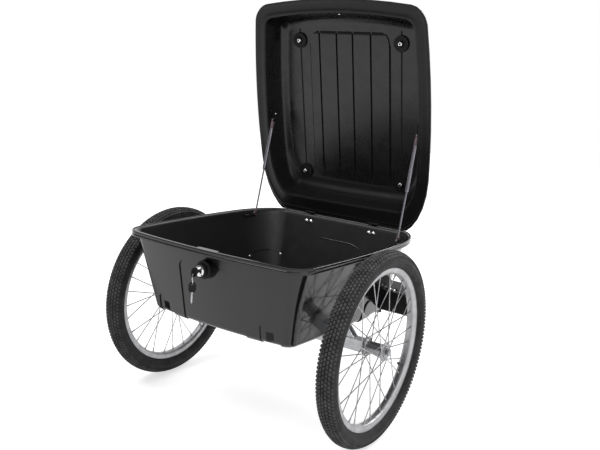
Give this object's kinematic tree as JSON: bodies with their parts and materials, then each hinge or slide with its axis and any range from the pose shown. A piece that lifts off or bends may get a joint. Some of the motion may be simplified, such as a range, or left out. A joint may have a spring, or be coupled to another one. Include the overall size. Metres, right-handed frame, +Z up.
{
  "type": "bike cargo trailer",
  "caption": "Moulded cargo tub with a strut-held hinged lid on spoked wheels, with key lock, drawbar, swivel hitch and fold-up stand.",
  "frame": {"origin": "on the ground, midway between the two tyres and straight under the wheel axle", "axes": "+Y the way of travel towards the hitch, +Z up, +X to the right of travel, along the wheel axle"},
  "size_m": [0.77, 1.481, 1.1273],
  "materials": {
    "tub_plastic": "fine moulded grain, satin black",
    "lid_plastic": "fine moulded grain, satin black",
    "black_plastic": "black moulded plastic",
    "socket_plastic": "dark moulded plastic",
    "tyre_rubber": "knobby black tyre rubber",
    "foot_rubber": "black rubber",
    "rim_alloy": "silver anodised rim",
    "hub_alloy": "polished hub, bright spokes",
    "frame_alloy": "silver frame tube",
    "steel": "bright zinc steel",
    "black_steel": "black painted steel",
    "chrome": "bright chrome"
  },
  "bodies": {
    "frame": {"axle_beam": "frame_alloy", "drawbar": "frame_alloy", "wheel_axle_left": "steel", "wheel_axle_right": "steel", "stand_bracket": "steel", "coupling_fork": "steel", "tub": "tub_plastic", "hinge_leaf_tub_left": "black_steel", "hinge_leaf_tub_right": "black_steel", "hinge_pin_left": "chrome", "hinge_pin_right": "chrome", "hinge_bolt_left_a": "chrome", "hinge_bolt_left_b": "chrome", "hinge_bolt_right_a": "chrome", "hinge_bolt_right_b": "chrome", "strut_bracket_tub_left": "chrome", "strut_bracket_tub_right": "chrome", "lock_housing": "black_plastic", "corner_guard_left": "black_plastic", "corner_guard_right": "black_plastic"},
    "lid": {"lid": "lid_plastic", "lid_rail_left": "black_plastic", "lid_rail_right": "black_plastic", "rail_bolt_left_low": "black_plastic", "rail_bolt_left_high": "black_plastic", "rail_bolt_right_low": "black_plastic", "rail_bolt_right_high": "black_plastic", "hinge_leaf_lid_left": "black_steel", "hinge_leaf_lid_right": "black_steel", "strut_bracket_lid_left": "chrome", "strut_bracket_lid_right": "chrome"},
    "lock_plug": {"lock_cylinder": "chrome", "key": "black_plastic", "latch_bar": "steel"},
    "spare_keys": {"key_ring": "chrome", "spare_key": "black_plastic"},
    "stand": {"stand_leg": "frame_alloy", "stand_foot": "foot_rubber"},
    "swivel": {"swivel_block": "black_plastic"},
    "hitch": {"hitch_plate": "steel"},
    "strut_upper_left": {"strut_socket_top_left": "socket_plastic", "strut_tube_left": "frame_alloy"},
    "strut_lower_left": {"strut_rod_left": "steel", "strut_socket_foot_left": "socket_plastic"},
    "wheel_left": {"tyre_left": "tyre_rubber", "rim_left": "rim_alloy", "spoked_hub_left": "hub_alloy", "bearing_left": "steel", "valve_left": "black_plastic"},
    "strut_upper_right": {"strut_socket_top_right": "socket_plastic", "strut_tube_right": "frame_alloy"},
    "strut_lower_right": {"strut_rod_right": "steel", "strut_socket_foot_right": "socket_plastic"},
    "wheel_right": {"tyre_right": "tyre_rubber", "rim_right": "rim_alloy", "spoked_hub_right": "hub_alloy", "bearing_right": "steel", "valve_right": "black_plastic"}
  },
  "joints": [
    {"name": "lid_hinge", "type": "hinge", "parent": "frame", "child": "lid", "pos_m": [0, 0.37, 0.488], "axis": [1, 0, 0], "range_deg": [0, 77.3]},
    {"name": "strut_turn_left", "type": "hinge", "parent": "lid", "child": "strut_upper_left", "pos_m": [-0.25, 0.31949, 0.76671], "axis": [1, 0, 0], "range_deg": [0, 16.67]},
    {"name": "strut_slide_left", "type": "slide", "parent": "strut_upper_left", "child": "strut_lower_left", "axis": [0, -0.2066, -0.9784], "range_m": [-0.12539, 0]},
    {"name": "strut_turn_right", "type": "hinge", "parent": "lid", "child": "strut_upper_right", "pos_m": [0.25, 0.31949, 0.76671], "axis": [1, 0, 0], "range_deg": [0, 16.67]},
    {"name": "strut_slide_right", "type": "slide", "parent": "strut_upper_right", "child": "strut_lower_right", "axis": [0, -0.2066, -0.9784], "range_m": [-0.12539, 0]},
    {"name": "lock_turn", "type": "hinge", "parent": "frame", "child": "lock_plug", "pos_m": [0.003, -0.28864, 0.432], "axis": [0, 1, 0], "range_deg": [0, 90]},
    {"name": "key_swing", "type": "hinge", "parent": "lock_plug", "child": "spare_keys", "pos_m": [0.003, -0.30964, 0.427], "axis": [1, 0, 0], "range_deg": [-20, 12]},
    {"name": "stand_fold", "type": "hinge", "parent": "frame", "child": "stand", "pos_m": [-0.165, 1.005, 0.218], "axis": [-1, 0, 0], "range_deg": [0, 84]},
    {"name": "hitch_yaw", "type": "hinge", "parent": "frame", "child": "swivel", "pos_m": [-0.165, 1.068, 0.252], "axis": [0, 0, 1], "range_deg": [-50, 50]},
    {"name": "hitch_pitch", "type": "hinge", "parent": "swivel", "child": "hitch", "pos_m": [-0.165, 1.096, 0.252], "axis": [1, 0, 0], "range_deg": [-35, 35]},
    {"name": "wheel_spin_left", "type": "hinge", "parent": "frame", "child": "wheel_left", "pos_m": [-0.345, 0, 0.252], "axis": [1, 0, 0], "continuous": true},
    {"name": "wheel_spin_right", "type": "hinge", "parent": "frame", "child": "wheel_right", "pos_m": [0.345, 0, 0.252], "axis": [1, 0, 0], "continuous": true}
  ],
  "couplings": [
    {"joint": "strut_turn_left", "follows": "lid_hinge", "ratio": 0.21306},
    {"joint": "strut_slide_left", "follows": "lid_hinge", "m_per_rad": -0.09257},
    {"joint": "strut_turn_right", "follows": "lid_hinge", "ratio": 0.21306},
    {"joint": "strut_slide_right", "follows": "lid_hinge", "m_per_rad": -0.09257}
  ]
}
